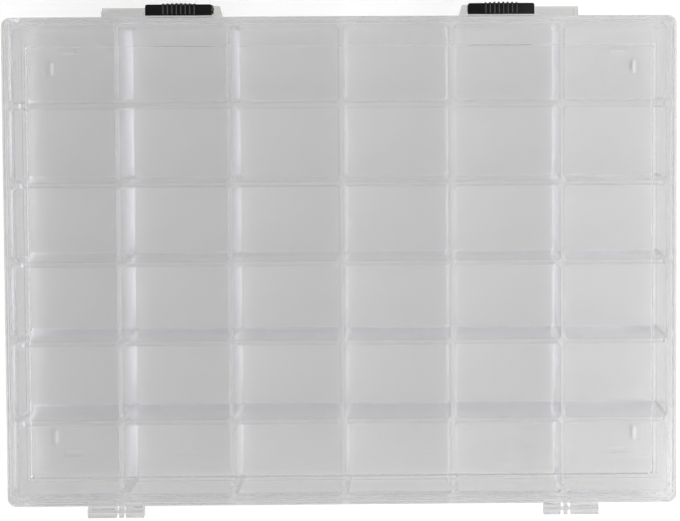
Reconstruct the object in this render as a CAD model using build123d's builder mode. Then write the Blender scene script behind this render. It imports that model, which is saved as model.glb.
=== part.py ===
"""Embroidery thread box: a clear moulded tray of fixed compartments, a pinned lid and two slide latches.

The frame is +Z up, with the latches at the front, facing -Y, and the hinges at the back.
Sizes are in millimetres. The lid is closed and the latches are open; z = 0 is the underside of the feet.
"""

import os

from build123d import *

# Case as a whole
box_width = 362.0
box_depth = 264.0
box_height = 45.0
corner_radius = 4.8
split_height = 34.0
lid_gap = 0.3

# Compartments
columns = 6
rows = 6
column_pitch = 60.0
row_pitch = 43.0
row_offset = 1.5
divider_top = 2.4
divider_headroom = 1.2
cell_draft = 1.1
cell_corner_chamfer = 1.3
cell_floor_chamfer = 1.0

# Tray shell
floor_top = 3.2
tray_underside = 1.6
tray_draft = 3.9
shoulder_inset = 0.3
lip_inset = 2.6
lip_wall = 1.8
base_edge_radius = 1.0
base_panel_drop = 0.4

# Stacking feet, a pair of bars at each corner of the base panel
foot_length = 9.0
foot_width = 2.0
foot_corner_start = 7.2

# Lid
skirt_wall = 2.3
lid_thickness = 2.2
lid_edge_radius = 1.1
recess_inset_x = 12.9
recess_inset_y = 15.6
recess_slope = 0.4
recess_depth = 1.4
recess_corner_radius = 1.5
panel_thickness = 2.0
panel_rim = 2.3
stacking_clearance = 0.4

# Latch rails on the front of the tray
rail_inset = 52.0
rail_length = 63.0
rail_reach = 5.2
rail_web = 1.8
rail_lip = 1.3
rail_lip_height = 5.0
rail_cap = 2.8
rail_cap_reach = 6.2
rail_cap_slope = 2.0
rail_end_height = 5.6
rail_stop = 2.0
root_depth = 1.0

# Latch flanges on the front of the lid
flange_length = 22.4
flange_reach = 3.4
flange_thickness = 2.0

# Latch sliders
slider_length = 36.0
slider_plate = 1.5
slider_hook = 1.4
slider_hook_inset = 1.0
slider_base = 1.9
slider_return = 1.4
slider_return_height = 2.3
slider_end_radius = 1.2
latch_clearance = 0.3
ridge_count = 8
ridge_pitch = 2.4
ridge_width = 1.2
ridge_height = 0.8
ridge_fall = 0.4
ridge_margin = 0.9

# Hinges
hinge_offset = 6.0
hinge_inset = 71.4
barrel_radius = 3.4
lid_knuckle = 9.2
tray_knuckle = 15.0
tray_rib = 1.8
knuckle_gap = 2.0
hinge_web = 2.8
pin_radius = 1.0
pin_length = 29.0
pin_clearance = 0.05

# Worked out from the sizes above
front = box_depth / 2
inner_width = box_width - 2 * (lip_inset + lip_wall)
inner_depth = box_depth - 2 * (lip_inset + lip_wall)
skirt_bottom = split_height + lid_gap
panel_top = box_height - recess_depth
divider_height = panel_top - panel_thickness - divider_headroom
base_panel_width = box_width - 2 * (recess_inset_x + recess_slope + stacking_clearance)
base_panel_depth = box_depth - 2 * (recess_inset_y + recess_slope + stacking_clearance)

rail_outer_x = box_width / 2 - rail_inset
rail_inner_x = rail_outer_x - rail_length
rail_bottom = split_height - rail_lip_height
rail_lip_inner = rail_reach - rail_lip
slider_x = rail_inner_x + rail_cap + latch_clearance + slider_length / 2
slider_face = rail_reach + latch_clearance + slider_plate
slider_bottom = rail_bottom - latch_clearance - slider_base
slider_back = rail_lip_inner - latch_clearance - slider_return
flange_top = skirt_bottom + flange_thickness
slider_top = flange_top + latch_clearance + slider_hook

hinge_y = box_depth / 2 + hinge_offset
hinge_z = split_height
hinge_inner_x = box_width / 2 - hinge_inset
lid_knuckle_x = hinge_inner_x + lid_knuckle / 2
tray_rib_x = hinge_inner_x + lid_knuckle + knuckle_gap + tray_rib / 2
tray_knuckle_x = tray_rib_x + tray_rib / 2 + knuckle_gap + tray_knuckle / 2
pin_x = (hinge_inner_x + tray_knuckle_x + tray_knuckle / 2) / 2


def cell_spans(count, pitch, offset, inner):
    """Centre and width of each cell, at the top of the dividers, which are set off centre by the offset."""
    edges = [-inner / 2]
    for i in range(count - 1):
        divider = (i - (count - 2) / 2) * pitch + offset
        edges += [divider - divider_top / 2, divider + divider_top / 2]
    edges.append(inner / 2)
    return [((low + high) / 2, high - low) for low, high in zip(edges[::2], edges[1::2])]


def front_section(x):
    """Upright plane at x whose first axis points forward and second axis points up."""
    return Plane(origin=(x, 0, 0), x_dir=(0, -1, 0), z_dir=(-1, 0, 0))


def section_box(near, far, low, high):
    """Rectangle from near to far in front of the case and from low to high above the table."""
    with Locations((front + (near + far) / 2, (low + high) / 2)):
        Rectangle(far - near, high - low)


def knuckle_section(web_low):
    """Barrel and pin bore on the hinge axis, with the web that carries the barrel."""
    with Locations((-hinge_y, hinge_z)):
        Circle(barrel_radius)
    with Locations((-hinge_y, web_low)):
        Rectangle(hinge_offset + root_depth, hinge_web, align=(Align.MIN, Align.MIN))
    with Locations((-hinge_y, hinge_z)):
        Circle(pin_radius + pin_clearance, mode=Mode.SUBTRACT)


def latch_slider(side):
    """Slider that wraps round the rail lip; its hook passes over the flange on the lid."""
    with BuildPart() as slider:
        with BuildSketch(front_section(side * slider_x)):
            section_box(rail_reach + latch_clearance, slider_face, slider_bottom, slider_top)
            section_box(flange_reach + latch_clearance, slider_face, split_height + latch_clearance, slider_top)
            section_box(slider_hook_inset, slider_face, slider_top - slider_hook, slider_top)
            section_box(slider_back, slider_face, slider_bottom, slider_bottom + slider_base)
            section_box(slider_back, slider_back + slider_return, slider_bottom,
                        slider_bottom + slider_base + slider_return_height)
        extrude(amount=slider_length / 2, both=True)
        fillet(slider.edges().filter_by(Axis.Z).group_by(Axis.Y)[0], slider_end_radius)
        for i in range(ridge_count):
            step = i - (ridge_count - 1) / 2
            reach = ridge_height * (1 - ridge_fall * (2 * step / ridge_count) ** 2)
            with BuildSketch(front_section(side * slider_x + step * ridge_pitch)):
                section_box(slider_face - slider_plate / 2, slider_face + reach,
                            slider_bottom + ridge_margin, slider_top - ridge_margin)
            extrude(amount=ridge_width / 2, both=True)
    return slider


def hinge_pin(side):
    """Clear pin through the three knuckles of one hinge."""
    with BuildPart() as pin:
        with BuildSketch(front_section(side * pin_x)):
            with Locations((-hinge_y, hinge_z)):
                Circle(pin_radius)
        extrude(amount=pin_length / 2, both=True)
    return pin


with BuildPart() as compartments:
    with BuildSketch(Plane.XY.offset(divider_height)):
        for cell_x, cell_width in cell_spans(columns, column_pitch, 0, inner_width):
            for cell_y, cell_depth in cell_spans(rows, row_pitch, row_offset, inner_depth):
                with Locations((cell_x, cell_y)):
                    Rectangle(cell_width, cell_depth)
    extrude(amount=floor_top - divider_height, taper=cell_draft)
    uprights = compartments.edges().filter_by(lambda edge: edge.bounding_box().size.Z > floor_top)
    chamfer(uprights, cell_corner_chamfer)
    chamfer(compartments.faces().group_by(Axis.Z)[0].edges(), cell_floor_chamfer)

with BuildPart() as tray:
    with BuildSketch(Plane.XY.offset(split_height)):
        RectangleRounded(box_width - 2 * shoulder_inset, box_depth - 2 * shoulder_inset, corner_radius)
    extrude(amount=tray_underside - split_height, taper=tray_draft)
    fillet(tray.faces().sort_by(Axis.Z)[0].edges(), base_edge_radius)
    with BuildSketch(Plane.XY.offset(split_height)):
        RectangleRounded(box_width - 2 * lip_inset, box_depth - 2 * lip_inset, corner_radius - lip_inset)
    extrude(amount=divider_height - split_height)
    # Base panel and stacking feet
    with BuildSketch(Plane.XY.offset(tray_underside)):
        Rectangle(base_panel_width, base_panel_depth)
    extrude(amount=-base_panel_drop)
    for side in (-1, 1):
        for end in (-1, 1):
            foot_x = side * (base_panel_width / 2 - foot_corner_start - foot_length / 2)
            foot_y = end * (base_panel_depth / 2 - foot_corner_start - foot_length / 2)
            with BuildSketch(Plane.XY):
                with Locations((foot_x, end * (base_panel_depth - foot_width) / 2)):
                    Rectangle(foot_length, foot_width)
                with Locations((side * (base_panel_width - foot_width) / 2, foot_y)):
                    Rectangle(foot_width, foot_length)
            extrude(amount=tray_underside)
    add(compartments.part, mode=Mode.SUBTRACT)
    for side in (-1, 1):
        # Latch rail, with its end cap and outer stop
        with BuildSketch(front_section(side * (rail_inner_x + rail_length / 2))):
            section_box(-root_depth, rail_reach, split_height - rail_web, split_height)
            section_box(rail_lip_inner, rail_reach, rail_bottom, split_height)
        extrude(amount=rail_length / 2, both=True)
        cap_outer_x = rail_inner_x + rail_cap
        with BuildSketch(Plane.XY.offset(split_height)):
            Polygon((side * (rail_inner_x - rail_cap_slope), root_depth - front),
                    (side * rail_inner_x, -front - rail_cap_reach),
                    (side * cap_outer_x, -front - rail_cap_reach),
                    (side * cap_outer_x, root_depth - front), align=None)
        extrude(amount=-rail_end_height)
        with BuildSketch(front_section(side * (rail_outer_x - rail_stop / 2))):
            section_box(-root_depth, rail_lip_inner, split_height - rail_end_height, split_height - rail_web)
        extrude(amount=rail_stop / 2, both=True)
        # Hinge knuckles
        for knuckle_x, knuckle_length in ((tray_knuckle_x, tray_knuckle), (tray_rib_x, tray_rib)):
            with BuildSketch(front_section(side * knuckle_x)):
                knuckle_section(hinge_z - barrel_radius)
            extrude(amount=knuckle_length / 2, both=True)

with BuildPart() as lid:
    with BuildSketch(Plane.XY.offset(skirt_bottom)):
        RectangleRounded(box_width, box_depth, corner_radius)
    extrude(amount=box_height - skirt_bottom)
    fillet(lid.faces().sort_by(Axis.Z)[-1].edges(), lid_edge_radius)
    with BuildSketch(Plane.XY.offset(skirt_bottom)):
        RectangleRounded(box_width - 2 * skirt_wall, box_depth - 2 * skirt_wall, corner_radius - skirt_wall)
    extrude(amount=box_height - lid_thickness - skirt_bottom, mode=Mode.SUBTRACT)
    # Recessed panel that takes the feet of a box stacked on top
    with BuildSketch(Plane.XY.offset(box_height - lid_thickness)):
        Rectangle(box_width - 2 * (recess_inset_x - panel_rim), box_depth - 2 * (recess_inset_y - panel_rim))
    extrude(amount=panel_top - panel_thickness - (box_height - lid_thickness))
    with BuildSketch(Plane.XY.offset(box_height)):
        RectangleRounded(box_width - 2 * recess_inset_x, box_depth - 2 * recess_inset_y, recess_corner_radius)
    recess_taper = 90 - Vector(recess_slope, recess_depth).get_angle(Vector(1, 0))
    extrude(amount=-recess_depth, taper=recess_taper, mode=Mode.SUBTRACT)
    for side in (-1, 1):
        with BuildSketch(front_section(side * (rail_outer_x - flange_length / 2))):
            section_box(-root_depth, flange_reach, skirt_bottom, flange_top)
        extrude(amount=flange_length / 2, both=True)
        with BuildSketch(front_section(side * lid_knuckle_x)):
            knuckle_section(hinge_z + barrel_radius - hinge_web)
        extrude(amount=lid_knuckle / 2, both=True)

latch_right = latch_slider(1)
latch_left = latch_slider(-1)
hinge_pin_right = hinge_pin(1)
hinge_pin_left = hinge_pin(-1)

pieces = {
    "tray": tray,
    "lid": lid,
    "latch_right": latch_right,
    "latch_left": latch_left,
    "hinge_pin_right": hinge_pin_right,
    "hinge_pin_left": hinge_pin_left,
}

os.makedirs("parts", exist_ok=True)
for name, piece in pieces.items():
    piece.part.label = name
    export_step(piece.part, f"parts/{name}.step")
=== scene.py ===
"""Embroidery thread box: clear moulded polystyrene case and hinge pins, with black slide latches.

Run as a script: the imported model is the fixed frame, each operator finishes or models one kind of
piece, and the stage operator sets the table, the room, the lamp and the camera. Lengths are in metres,
as in the frame, and pattern sizes are in millimetres.
"""

import bpy
from math import radians
from mathutils import Matrix, Vector


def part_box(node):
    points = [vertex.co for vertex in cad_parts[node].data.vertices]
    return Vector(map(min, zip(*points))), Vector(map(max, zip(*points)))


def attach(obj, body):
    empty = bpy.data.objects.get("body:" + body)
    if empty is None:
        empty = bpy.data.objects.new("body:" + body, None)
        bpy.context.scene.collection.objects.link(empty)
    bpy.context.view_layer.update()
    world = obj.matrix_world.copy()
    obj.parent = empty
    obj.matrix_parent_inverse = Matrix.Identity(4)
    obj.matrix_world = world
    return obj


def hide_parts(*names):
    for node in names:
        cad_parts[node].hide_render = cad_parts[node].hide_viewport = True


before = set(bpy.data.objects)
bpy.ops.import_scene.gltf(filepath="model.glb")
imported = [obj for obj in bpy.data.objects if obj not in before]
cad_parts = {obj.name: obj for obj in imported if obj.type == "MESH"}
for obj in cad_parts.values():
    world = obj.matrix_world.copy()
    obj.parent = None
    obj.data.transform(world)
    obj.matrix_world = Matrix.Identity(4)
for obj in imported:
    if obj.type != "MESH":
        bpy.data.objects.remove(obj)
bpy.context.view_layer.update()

bl_info = {
    "name": "Embroidery thread box",
    "version": (1, 1, 0),
    "blender": (4, 5, 0),
    "location": "3D View > Sidebar > Thread box",
    # The foot faces are white films under the feet, painted highlights
    "description": "Finishes, foot faces and slide latches for a clear moulded thread box",
    "category": "Object",
}

# Picture frame that the lens is worked out for, in pixels
PICTURE_WIDTH = 680
PICTURE_HEIGHT = 521

# Camera: its place, its turns about X, Y and Z from looking straight down with the hinges at the foot of
# the picture, and its focal length and optical centre in pixels of the picture
CAMERA_PLACE = (-0.04098, -0.1001, 0.8146)
CAMERA_TURN = (0.033598, 0.009704, 0.005376)
CAMERA_FOCAL = 1435.0
CAMERA_CENTRE = (430.4, 123.5)

# Middle of the key lamp, which points at the middle of the box
KEY_PLACE = (-1.0, 0.25, 0.9)

# Light is caught in the upright walls of clear plastic and needs many turns to come out again
LIGHT_TURNS = 40

# Sizes of the patterns, in millimetres
FLOW_MM = 45
GRAIN_MM = 0.3

# Depths of the flow waves and of the grain at full bump strength, in metres
FLOW_RELIEF = 0.001
GRAIN_RELIEF = 0.0001

# Finger ridges of a slider: how many, how much lower the outermost would be, and the sides of their round
# section. A ridge turns over the top edge in a few steps; a positive turn takes it from upright to the back.
RIDGES = 8
RIDGE_FALL = 0.4
RIDGE_SIDES = 12
BEND_STEPS = 4
BEND_TURN = radians(90)

# A face counts as facing a way when its normal's share of that way is more than this
SQUARELY = 0.9

# An edge whose faces turn by more than the first angle gets the moulded radius, and by more than the
# second it shows as a crease
ROUNDED_ABOVE = radians(40)
CREASED_ABOVE = radians(35)

# Corner radius of a foot mark, a painted highlight, as a share of its width
MARK_CORNER = 0.4

# Two points closer than this are one, in metres
SAME_POINT = 0.000001


def linear(hex_colour):
    """Linear red, green, blue and alpha of an sRGB hex colour."""
    channels = [int(hex_colour[i:i + 2], 16) / 255 for i in (1, 3, 5)]
    return tuple(c / 12.92 if c <= 0.04045 else ((c + 0.055) / 1.055) ** 2.4 for c in channels) + (1.0,)


def per_mm(size):
    """Pattern scale for Object coordinates, which are in metres, from a feature size in millimetres."""
    return 1000 / size


def node(tree, kind, settings=None, **links):
    """Add a node; settings are its own properties, and links fill its inputs with values or sockets.

    An input is named with its spaces as underscores, or as n0, n1 and so on by its number.
    """
    made = tree.nodes.new(kind)
    for name, value in (settings or {}).items():
        setattr(made, name, value)
    for name, value in links.items():
        numbered = name[0] == "n" and name[1:].isdigit()
        socket = made.inputs[int(name[1:]) if numbered else name.replace("_", " ")]
        if isinstance(value, bpy.types.NodeSocket):
            tree.links.new(value, socket)
        else:
            socket.default_value = value
    return made


def new_material(name):
    """Empty node material and its tree."""
    material = bpy.data.materials.new(name)
    material.use_nodes = True
    material.node_tree.nodes.clear()
    return material, material.node_tree


def finish_node(name, material):
    """Put one material on every slot of a CAD node."""
    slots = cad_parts[name].material_slots
    if not len(slots):
        raise RuntimeError(f"{name} has no material slot")
    for slot in slots:
        slot.material = material


def deselect():
    """Leave edit mode and select nothing."""
    if bpy.context.object and bpy.context.object.mode != "OBJECT":
        bpy.ops.object.mode_set(mode="OBJECT")
    bpy.ops.object.select_all(action="DESELECT")


def pick(piece, kind, wanted):
    """In edit mode, select the parts of a piece that pass a test; kind is FACE or EDGE.

    The test gets a face's centre and normal, or the two ends of an edge.
    """
    bpy.ops.mesh.select_all(action="DESELECT")
    bpy.ops.mesh.select_mode(type=kind)
    bpy.ops.object.mode_set(mode="OBJECT")
    mesh = piece.data
    if kind == "FACE":
        parts = [(face, face.center, face.normal) for face in mesh.polygons]
    else:
        parts = [(edge, *(mesh.vertices[end].co for end in edge.vertices)) for edge in mesh.edges]
    found = 0
    for part, first, second in parts:
        part.select = wanted(first, second)
        found += part.select
    bpy.ops.object.mode_set(mode="EDIT")
    if not found:
        raise RuntimeError(f"no {kind.lower()} of {piece.name} passes the test")


def cut_level(height):
    """In edit mode, cut the whole piece along a level plane."""
    bpy.ops.mesh.select_all(action="SELECT")
    bpy.ops.mesh.bisect(plane_co=(0, 0, height), plane_no=(0, 0, 1))


def cut_upright(depth):
    """In edit mode, cut the selected faces along an upright plane that faces the front."""
    bpy.ops.mesh.bisect(plane_co=(0, depth, 0), plane_no=(0, 1, 0))


def push(x=0.0, y=0.0, z=0.0):
    """In edit mode, extrude the selected faces by a step."""
    bpy.ops.mesh.extrude_region_move(TRANSFORM_OT_translate={"value": (x, y, z)})


def own_copy(piece, name):
    """A copy with its own mesh, left in edit mode with all of it selected."""
    deselect()
    piece.select_set(True)
    bpy.context.view_layer.objects.active = piece
    bpy.ops.object.duplicate()
    made = bpy.context.object
    made.name = name
    bpy.ops.object.mode_set(mode="EDIT")
    bpy.ops.mesh.select_all(action="SELECT")
    return made


def moved_copy(piece, name, x=0.0, y=0.0):
    """A copy whose points are moved, so that its origin stays where it is."""
    made = own_copy(piece, name)
    bpy.ops.transform.translate(value=(x, y, 0))
    bpy.ops.object.mode_set(mode="OBJECT")
    return made


class ThreadBoxStage(bpy.types.PropertyGroup):
    """Table, room and lamp"""

    # Painted shade: the grey that the plastic and the light see in place of the white table
    shaded_table_colour: bpy.props.StringProperty(
        name="Table", description="Colour of the table under the case, as sRGB hex",
        default="#DDDCD5")
    backdrop_colour: bpy.props.StringProperty(
        name="Backdrop", description="Colour of the table where it is seen bare, as sRGB hex",
        default="#FFFFFF")
    table_size: bpy.props.FloatProperty(
        name="Table size", description="Side of the table top", default=6.0, unit="LENGTH")
    table_gap: bpy.props.FloatProperty(
        name="Table gap", description="Air under the feet, which keeps their faces apart from the table",
        default=0.0003, unit="LENGTH")
    table_roughness: bpy.props.FloatProperty(
        name="Table roughness", description="Roughness of the satin paint", default=0.6,
        subtype="FACTOR")
    backdrop_glow: bpy.props.FloatProperty(
        name="Backdrop glow", description="White added where the table is seen bare", default=0.12,
        subtype="FACTOR")
    key_power: bpy.props.FloatProperty(
        name="Key lamp", description="Power of the large soft lamp", default=15.0, subtype="POWER")
    key_size: bpy.props.FloatProperty(
        name="Key size", description="Side of the large soft lamp", default=1.5, unit="LENGTH")
    room_sides: bpy.props.FloatProperty(
        name="Side walls", description="Brightness of the room to the left and right", default=0.7)
    room_ends: bpy.props.FloatProperty(
        name="End walls", description="Brightness of the room to the front and back", default=0.85)
    room_ceiling: bpy.props.FloatProperty(
        name="Ceiling", description="Brightness of the room overhead", default=0.45)


class ThreadBoxFinishes(bpy.types.PropertyGroup):
    """Clear and black plastic"""

    polystyrene_tint: bpy.props.StringProperty(
        name="Polystyrene", description="Tint of the clear case and pins, as sRGB hex",
        default="#FBFBFE")
    polystyrene_index: bpy.props.FloatProperty(
        name="Index", description="Refractive index of the polystyrene", default=1.59)
    polystyrene_haze: bpy.props.FloatProperty(
        name="Haze", description="Roughness of the clear plastic", default=0.1, subtype="FACTOR")
    flow_depth: bpy.props.FloatProperty(
        name="Flow waves", description="Strength of the waves in flat faces", default=0.01,
        subtype="FACTOR")
    face_light: bpy.props.FloatProperty(
        name="Face light", description="Light that a shadow keeps at each face of the plastic",
        default=0.94, subtype="FACTOR")
    latch_colour: bpy.props.StringProperty(
        name="Latches", description="Colour of the black sliders, as sRGB hex", default="#070709")
    # Lighter than the sliders: a painted highlight on the finger ridges
    ridge_highlight_colour: bpy.props.StringProperty(
        name="Ridges", description="Colour of their finger ridges, as sRGB hex", default="#161619")


class ThreadBoxFeet(bpy.types.PropertyGroup):
    """Painted highlights along the bars of the stacking feet"""

    side_x: bpy.props.FloatProperty(
        name="Side mark X", description="From the middle of the box to a mark beside a side bar, across",
        default=0.1644, unit="LENGTH")
    side_y: bpy.props.FloatProperty(
        name="Side mark Y",
        description="From the middle of the box to a mark beside a side bar, front to back",
        default=0.1045, unit="LENGTH")
    side_length: bpy.props.FloatProperty(
        name="Side mark length", description="Length of the mark beside a side bar",
        default=0.0075, unit="LENGTH")
    side_width: bpy.props.FloatProperty(
        name="Side mark width", description="Width of the mark beside a side bar",
        default=0.0018, unit="LENGTH")
    end_x: bpy.props.FloatProperty(
        name="End mark X", description="From the middle of the box to a mark beside an end bar, across",
        default=0.1545, unit="LENGTH")
    end_y: bpy.props.FloatProperty(
        name="End mark Y",
        description="From the middle of the box to a mark beside an end bar, front to back",
        default=0.1132, unit="LENGTH")
    end_length: bpy.props.FloatProperty(
        name="End mark length", description="Length of the mark beside an end bar",
        default=0.0085, unit="LENGTH")
    end_width: bpy.props.FloatProperty(
        name="End mark width", description="Width of the mark beside an end bar",
        default=0.0006, unit="LENGTH")
    panel: bpy.props.FloatProperty(
        name="Panel", description="Height of the underside of the base panel",
        default=0.0012, unit="LENGTH")
    film: bpy.props.FloatProperty(
        name="Film", description="Thickness of a mark", default=0.00005, unit="LENGTH")
    # Colour of the painted highlights: white film under the clear foot bars
    colour: bpy.props.StringProperty(
        name="Painted glint", description="Colour of the marks, as sRGB hex", default="#FAFAF0")


class ThreadBoxLatch(bpy.types.PropertyGroup):
    """Sections of a slide latch and its finger ridges"""

    plate: bpy.props.FloatProperty(
        name="Plate", description="Thickness of the front plate", default=0.0015, unit="LENGTH")
    hook: bpy.props.FloatProperty(
        name="Hook", description="Thickness of the hook over the flange",
        default=0.0014, unit="LENGTH")
    shoulder: bpy.props.FloatProperty(
        name="Shoulder", description="Depth of the block in front of the flange",
        default=0.0033, unit="LENGTH")
    shoulder_drop: bpy.props.FloatProperty(
        name="Shoulder drop", description="Height of that block", default=0.0037, unit="LENGTH")
    base: bpy.props.FloatProperty(
        name="Base", description="Thickness of the lip under the rail",
        default=0.0019, unit="LENGTH")
    base_reach: bpy.props.FloatProperty(
        name="Base reach", description="Depth of the lip under the rail",
        default=0.0048, unit="LENGTH")
    turn_up: bpy.props.FloatProperty(
        name="Turn-up", description="Thickness of the turned-up inner edge",
        default=0.0014, unit="LENGTH")
    turn_up_height: bpy.props.FloatProperty(
        name="Turn-up height", description="Height of the turned-up inner edge",
        default=0.0023, unit="LENGTH")
    end_radius: bpy.props.FloatProperty(
        name="End radius", description="Radius of the two front corners",
        default=0.0012, unit="LENGTH")
    edge_radius: bpy.props.FloatProperty(
        name="Edge radius", description="Radius of the moulded edges",
        default=0.0003, unit="LENGTH")
    ridge_pitch: bpy.props.FloatProperty(
        name="Ridge pitch", description="Distance between finger ridges",
        default=0.0024, unit="LENGTH")
    ridge_radius: bpy.props.FloatProperty(
        name="Ridge radius", description="Radius of a finger ridge", default=0.00055, unit="LENGTH")
    ridge_height: bpy.props.FloatProperty(
        name="Ridge height", description="How far the middle ridges stand out in front",
        default=0.0008, unit="LENGTH")
    ridge_crown: bpy.props.FloatProperty(
        name="Ridge crown", description="How far the ridges stand above the top",
        default=0.0004, unit="LENGTH")
    ridge_bend: bpy.props.FloatProperty(
        name="Ridge bend", description="Radius at which a ridge turns over the top edge",
        default=0.0008, unit="LENGTH")
    ridge_end: bpy.props.FloatProperty(
        name="Ridge end", description="Flat top behind the end of a ridge", default=0.0006, unit="LENGTH")


class THREADBOX_OT_stage(bpy.types.Operator):
    """Camera above the box, a pale table, a white room brighter at its sides and a soft lamp"""
    bl_idname = "threadbox.stage"
    bl_label = "Stage"

    def execute(self, context):
        settings = context.scene.threadbox_stage
        scene = context.scene
        lens = bpy.data.cameras.new("camera")
        lens.sensor_width = 36.0
        lens.lens = CAMERA_FOCAL * lens.sensor_width / PICTURE_WIDTH
        lens.shift_x = (PICTURE_WIDTH / 2 - CAMERA_CENTRE[0]) / PICTURE_WIDTH
        lens.shift_y = (CAMERA_CENTRE[1] - PICTURE_HEIGHT / 2) / PICTURE_WIDTH
        lens.clip_start = 0.05
        lens.clip_end = 20.0
        camera = bpy.data.objects.new("camera", lens)
        scene.collection.objects.link(camera)
        about_x, about_y, about_z = CAMERA_TURN
        flip = Matrix(((-1, 0, 0), (0, -1, 0), (0, 0, 1)))
        turn = (Matrix.Rotation(about_z, 3, "Z") @ Matrix.Rotation(about_y, 3, "Y")
                @ Matrix.Rotation(about_x, 3, "X") @ flip)
        camera.matrix_world = Matrix.Translation(Vector(CAMERA_PLACE)) @ turn.transposed().to_4x4()
        scene.camera = camera
        scene.view_settings.view_transform = "Standard"
        scene.cycles.max_bounces = LIGHT_TURNS
        scene.cycles.transmission_bounces = LIGHT_TURNS
        scene.cycles.glossy_bounces = LIGHT_TURNS
        scene.cycles.transparent_max_bounces = LIGHT_TURNS

        deselect()
        bpy.ops.mesh.primitive_plane_add(size=settings.table_size, location=(0, 0, -settings.table_gap))
        table = context.object
        table.name = "table_top"
        # Satin painted board: bare it is seen as the white backdrop, with the shadows on it. The plastic and
        # the light
        # see a darker grey copy of it instead: painted shade, standing in for the light that the clear case
        # takes away
        material, tree = new_material("painted_table")
        painted_shade_grey = node(tree, "ShaderNodeBsdfPrincipled", Base_Color=linear(settings.shaded_table_colour),
                    Roughness=settings.table_roughness)
        white = node(tree, "ShaderNodeBsdfPrincipled", Base_Color=linear(settings.backdrop_colour),
                     Roughness=settings.table_roughness, Emission_Color=(1, 1, 1, 1),
                     Emission_Strength=settings.backdrop_glow)
        bare = node(tree, "ShaderNodeLightPath").outputs["Is Camera Ray"]
        seen = node(tree, "ShaderNodeMixShader", n0=bare, n1=painted_shade_grey.outputs[0], n2=white.outputs[0])
        node(tree, "ShaderNodeOutputMaterial", Surface=seen.outputs[0])
        table.data.materials.append(material)

        # White room: its brightness follows the direction, from side walls to end walls and ceiling
        world = bpy.data.worlds.new("white_room")
        scene.world = world
        world.use_nodes = True
        tree = world.node_tree
        tree.nodes.clear()
        way = node(tree, "ShaderNodeTexCoord").outputs["Generated"]
        shares = node(tree, "ShaderNodeVectorMath", {"operation": "MULTIPLY"}, n0=way, n1=way)
        walls = (settings.room_sides, settings.room_ends, settings.room_ceiling)
        level = node(tree, "ShaderNodeVectorMath", {"operation": "DOT_PRODUCT"}, n0=shares.outputs[0],
                     n1=walls)
        room = node(tree, "ShaderNodeBackground", Color=(1, 1, 1, 1), Strength=level.outputs["Value"])
        node(tree, "ShaderNodeOutputWorld", Surface=room.outputs[0])

        lamp = bpy.data.lights.new("key_lamp", "AREA")
        lamp.shape = "RECTANGLE"
        lamp.size = settings.key_size
        lamp.size_y = settings.key_size
        lamp.energy = settings.key_power
        key = bpy.data.objects.new("key_lamp", lamp)
        scene.collection.objects.link(key)
        key.location = KEY_PLACE
        key.rotation_euler = (-key.location).to_track_quat("-Z", "Y").to_euler()
        return {"FINISHED"}


class THREADBOX_OT_clear_case(bpy.types.Operator):
    """Clear injection-moulded polystyrene of the tray, the lid and the hinge pins"""
    bl_idname = "threadbox.clear_case"
    bl_label = "Clear case"

    def execute(self, context):
        settings = context.scene.threadbox_finishes
        # General purpose polystyrene, as it comes from a polished mould: water-clear with a trace of blue
        # toner, so that its thick edges turn lavender; a faint haze softens what is seen through the
        # upright walls, and the flow of the plastic leaves its flat faces very slightly wavy
        material, tree = new_material("moulded_crystal_polystyrene")
        place = node(tree, "ShaderNodeTexCoord").outputs["Object"]
        flow = node(tree, "ShaderNodeTexNoise", Vector=place, Scale=per_mm(FLOW_MM), Detail=1.0,
                    Roughness=0.4)
        wave = node(tree, "ShaderNodeBump", Strength=settings.flow_depth, Distance=FLOW_RELIEF,
                    Height=flow.outputs["Fac"])
        plastic = node(tree, "ShaderNodeBsdfPrincipled", Base_Color=linear(settings.polystyrene_tint),
                       Roughness=settings.polystyrene_haze, IOR=settings.polystyrene_index,
                       Transmission_Weight=1.0, Normal=wave.outputs[0])
        # What a shadow keeps of the light at each face of the plastic
        kept = (settings.face_light, settings.face_light, settings.face_light, 1)
        gap = node(tree, "ShaderNodeBsdfTransparent", Color=kept)
        shadow = node(tree, "ShaderNodeLightPath").outputs["Is Shadow Ray"]
        both = node(tree, "ShaderNodeMixShader", n0=shadow, n1=plastic.outputs[0], n2=gap.outputs[0])
        node(tree, "ShaderNodeOutputMaterial", Surface=both.outputs[0])
        for name in ("tray", "lid", "hinge_pin_right", "hinge_pin_left"):
            finish_node(name, material)
        return {"FINISHED"}


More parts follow.
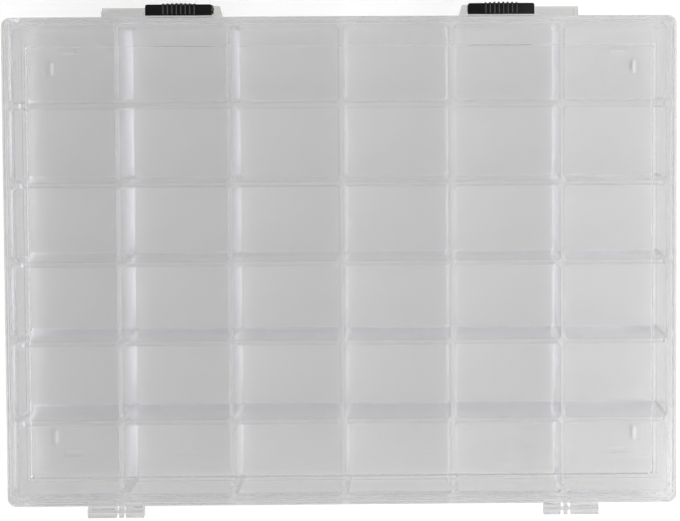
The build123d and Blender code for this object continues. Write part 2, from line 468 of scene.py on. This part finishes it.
class THREADBOX_OT_feet(bpy.types.Operator):
    """Painted highlights: white strokes under the base, along the inner side of each bar of the stacking
    feet
    """
    bl_idname = "threadbox.feet"
    bl_label = "Foot glints"

    def execute(self, context):
        sizes = context.scene.threadbox_feet
        # Painted highlight: a white matt film stands for the light that the small edges of the foot bars
        # scatter upwards, which shows as short white strokes through the clear floor
        material, tree = new_material("painted_highlight_film")
        place = node(tree, "ShaderNodeTexCoord").outputs["Object"]
        pits = node(tree, "ShaderNodeTexNoise", Vector=place, Scale=per_mm(GRAIN_MM), Detail=2.0)
        skin = node(tree, "ShaderNodeBump", Strength=0.3, Distance=GRAIN_RELIEF, Height=pits.outputs["Fac"])
        painted_glint = node(tree, "ShaderNodeBsdfPrincipled", Base_Color=linear(sizes.colour), Roughness=0.7,
                    Normal=skin.outputs[0])
        node(tree, "ShaderNodeOutputMaterial", Surface=painted_glint.outputs[0])
        for bar, x, y, size_x, size_y in (
                ("side", sizes.side_x, sizes.side_y, sizes.side_width, sizes.side_length),
                ("end", sizes.end_x, sizes.end_y, sizes.end_length, sizes.end_width)):
            deselect()
            bpy.ops.mesh.primitive_cube_add(size=1, location=(x, y, sizes.panel - sizes.film),
                                            scale=(size_x, size_y, sizes.film))
            first = context.object
            first.name = f"foot_glint_{bar}_back_right"
            first.data.materials.append(material)
            bpy.ops.object.transform_apply(location=True, rotation=True, scale=True)
            bpy.ops.object.mode_set(mode="EDIT")
            pick(first, "EDGE", lambda a, b: abs(a.z - b.z) > sizes.film / 2)
            bpy.ops.mesh.bevel(offset=MARK_CORNER * min(size_x, size_y), segments=4,
                               affect="EDGES")
            bpy.ops.object.mode_set(mode="OBJECT")
            marks = [first, moved_copy(first, f"foot_glint_{bar}_back_left", x=-2 * x),
                     moved_copy(first, f"foot_glint_{bar}_front_right", y=-2 * y),
                     moved_copy(first, f"foot_glint_{bar}_front_left", x=-2 * x, y=-2 * y)]
            for mark in marks:
                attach(mark, "tray")
        return {"FINISHED"}


class THREADBOX_OT_latches(bpy.types.Operator):
    """Black moulded sliders that wrap round the rails, with finger ridges over their front and top"""
    bl_idname = "threadbox.latches"
    bl_label = "Latches"

    def execute(self, context):
        settings = context.scene.threadbox_finishes
        # Black polystyrene from a spark-eroded mould: nearly black, a soft sheen over a fine even grain
        body = self.black_plastic("moulded_black_plastic", settings.latch_colour, shine=0.2,
                                  smoothest=0.3, roughest=0.42, grain_depth=0.25)
        # The same plastic from the polished grooves of the mould, coloured lighter than the body as a
        # painted highlight; its gloss gives each ridge a thin bright line
        gloss = self.black_plastic("polished_black_painted_highlight", settings.ridge_highlight_colour, shine=0.5,
                                   smoothest=0.1, roughest=0.16, grain_depth=0.05)
        for name in ("latch_right", "latch_left"):
            finish_node(name, body)
        right = self.slider(context.scene.threadbox_latch, body, gloss)
        left = self.mirrored(right)
        for piece, name in ((right, "latch_right"), (left, "latch_left")):
            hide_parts(name)
            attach(piece, name)
        return {"FINISHED"}

    def black_plastic(self, name, colour, shine, smoothest, roughest, grain_depth):
        """Black moulded plastic with a fine grain."""
        material, tree = new_material(name)
        place = node(tree, "ShaderNodeTexCoord").outputs["Object"]
        # The grain of such a mould is some 0.1 mm; it is drawn at 0.3 mm so that it shows
        grain = node(tree, "ShaderNodeTexNoise", Vector=place, Scale=per_mm(GRAIN_MM), Detail=3.0)
        skin = node(tree, "ShaderNodeBump", Strength=grain_depth, Distance=GRAIN_RELIEF,
                    Height=grain.outputs["Fac"])
        gloss = node(tree, "ShaderNodeMapRange", Value=grain.outputs["Fac"], To_Min=smoothest,
                     To_Max=roughest)
        plastic = node(tree, "ShaderNodeBsdfPrincipled", Base_Color=linear(colour),
                       Specular_IOR_Level=shine, Roughness=gloss.outputs[0], Normal=skin.outputs[0])
        node(tree, "ShaderNodeOutputMaterial", Surface=plastic.outputs[0])
        return material

    def slider(self, sizes, body_finish, ridge_finish):
        """The right-hand slider, in its place."""
        low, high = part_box("latch_right")
        steps = [i - (RIDGES - 1) / 2 for i in range(RIDGES)]
        stands = [sizes.ridge_height * (1 - RIDGE_FALL * (2 * step / RIDGES) ** 2) for step in steps]
        face = low.y + max(stands)
        centre_x = (low.x + high.x) / 2
        length = high.x - low.x

        # Front plate
        deselect()
        middle = (centre_x, face + sizes.plate / 2, (low.z + high.z) / 2)
        bpy.ops.mesh.primitive_cube_add(size=1, location=middle,
                                        scale=(length, sizes.plate, high.z - low.z))
        body = bpy.context.object
        body.name = "slider_right"
        body.data.materials.append(body_finish)
        bpy.ops.object.transform_apply(location=True, rotation=True, scale=True)
        bpy.ops.object.mode_set(mode="EDIT")
        pick(body, "EDGE", lambda a, b: abs(a.z - b.z) > sizes.plate and a.y < middle[1])
        bpy.ops.mesh.bevel(offset=sizes.end_radius, segments=5, affect="EDGES")

        # Block, hook and base behind the plate, each pushed out of its own band of the back
        plate_back = face + sizes.plate
        shoulder_back = face + sizes.shoulder
        for height in (low.z + sizes.base, high.z - sizes.shoulder_drop, high.z - sizes.hook):
            cut_level(height)
        pick(body, "FACE", lambda at, way: way.y > SQUARELY and at.z > high.z - sizes.shoulder_drop)
        push(y=shoulder_back - plate_back)
        pick(body, "FACE", lambda at, way: way.y > SQUARELY and at.z > high.z - sizes.hook)
        push(y=high.y - shoulder_back)
        base_back = face + sizes.base_reach
        pick(body, "FACE", lambda at, way: way.y > SQUARELY and at.z < low.z + sizes.base)
        push(y=base_back - plate_back)
        # Between the lip and the block
        base_top = low.z + 1.5 * sizes.base
        pick(body, "FACE", lambda at, way: at.z < base_top)
        cut_upright(base_back - sizes.turn_up)
        pick(body, "FACE", lambda at, way: (way.z > SQUARELY and at.z < base_top
                                            and at.y > base_back - sizes.turn_up))
        push(z=sizes.turn_up_height)
        bpy.ops.object.mode_set(mode="OBJECT")
        self.round_edges(body, sizes.edge_radius)

        # Finger ridges, lower towards both ends of the row
        ridges = []
        for i, (step, stand) in enumerate(zip(steps, stands)):
            foot = Vector((centre_x + step * sizes.ridge_pitch, face - stand + sizes.ridge_radius,
                           low.z + sizes.ridge_radius))
            ridges.append(self.ridge(sizes, foot, high, f"ridge_{i}"))
            ridges[-1].data.materials.append(ridge_finish)
        deselect()
        for ridge in ridges:
            ridge.select_set(True)
        body.select_set(True)
        bpy.context.view_layer.objects.active = body
        bpy.ops.object.join()
        bpy.ops.object.shade_smooth_by_angle(angle=CREASED_ABOVE)
        return body

    def round_edges(self, body, radius):
        """Moulded edge radius over the whole piece."""
        rounding = body.modifiers.new("moulded_edges", "BEVEL")
        rounding.width = radius
        rounding.segments = 3
        rounding.limit_method = "ANGLE"
        rounding.angle_limit = ROUNDED_ABOVE
        bpy.ops.object.modifier_apply(modifier=rounding.name)

    def ridge(self, sizes, foot, high, name):
        """A round bar up the front from its foot, turned over the top edge and run back along the top."""
        bend = Vector((foot.x, foot.y + sizes.ridge_bend,
                       high.z + sizes.ridge_crown - sizes.ridge_radius - sizes.ridge_bend))
        deselect()
        bpy.ops.mesh.primitive_circle_add(vertices=RIDGE_SIDES, radius=sizes.ridge_radius,
                                          fill_type="NGON", location=foot)
        bar = bpy.context.object
        bar.name = name
        bpy.ops.object.transform_apply(location=True, rotation=True, scale=True)
        bpy.ops.object.mode_set(mode="EDIT")
        bpy.ops.mesh.select_all(action="SELECT")
        push(z=bend.z - foot.z)
        for _ in range(BEND_STEPS):
            push()
            bpy.ops.transform.rotate(value=BEND_TURN / BEND_STEPS, orient_axis="X",
                                     orient_type="GLOBAL", center_override=bend)
        push(y=high.y - sizes.ridge_end - bend.y)
        bpy.ops.mesh.select_all(action="SELECT")
        bpy.ops.mesh.remove_doubles(threshold=SAME_POINT)
        bpy.ops.mesh.normals_make_consistent(inside=False)
        bpy.ops.object.mode_set(mode="OBJECT")
        return bar

    def mirrored(self, right):
        """The left-hand slider: a copy with its own mesh, turned to the other side."""
        left = own_copy(right, "slider_left")
        bpy.ops.transform.resize(value=(-1, 1, 1), center_override=(0, 0, 0))
        bpy.ops.mesh.normals_make_consistent(inside=False)
        bpy.ops.object.mode_set(mode="OBJECT")
        return left


OPERATORS = (THREADBOX_OT_stage, THREADBOX_OT_clear_case, THREADBOX_OT_feet, THREADBOX_OT_latches)


class THREADBOX_PT_panel(bpy.types.Panel):
    """Settings and steps of the thread box"""
    bl_idname = "THREADBOX_PT_panel"
    bl_label = "Thread box"
    bl_space_type = "VIEW_3D"
    bl_region_type = "UI"
    bl_category = "Thread box"

    def draw(self, context):
        scene = context.scene
        for group in (scene.threadbox_stage, scene.threadbox_finishes, scene.threadbox_feet,
                      scene.threadbox_latch):
            for name in group.__annotations__:
                self.layout.prop(group, name)
        for operator in OPERATORS:
            self.layout.operator(operator.bl_idname)


CLASSES = (ThreadBoxStage, ThreadBoxFinishes, ThreadBoxFeet, ThreadBoxLatch, *OPERATORS,
           THREADBOX_PT_panel)


def register():
    """Register every class and give the scene its settings."""
    for made in CLASSES:
        bpy.utils.register_class(made)
    bpy.types.Scene.threadbox_stage = bpy.props.PointerProperty(type=ThreadBoxStage)
    bpy.types.Scene.threadbox_finishes = bpy.props.PointerProperty(type=ThreadBoxFinishes)
    bpy.types.Scene.threadbox_feet = bpy.props.PointerProperty(type=ThreadBoxFeet)
    bpy.types.Scene.threadbox_latch = bpy.props.PointerProperty(type=ThreadBoxLatch)


def unregister():
    """Undo register."""
    del bpy.types.Scene.threadbox_latch
    del bpy.types.Scene.threadbox_feet
    del bpy.types.Scene.threadbox_finishes
    del bpy.types.Scene.threadbox_stage
    for made in reversed(CLASSES):
        bpy.utils.unregister_class(made)


def main():
    """Run every step in order."""
    register()
    bpy.ops.threadbox.stage()
    bpy.ops.threadbox.clear_case()
    bpy.ops.threadbox.feet()
    bpy.ops.threadbox.latches()


if __name__ == "__main__":
    main()
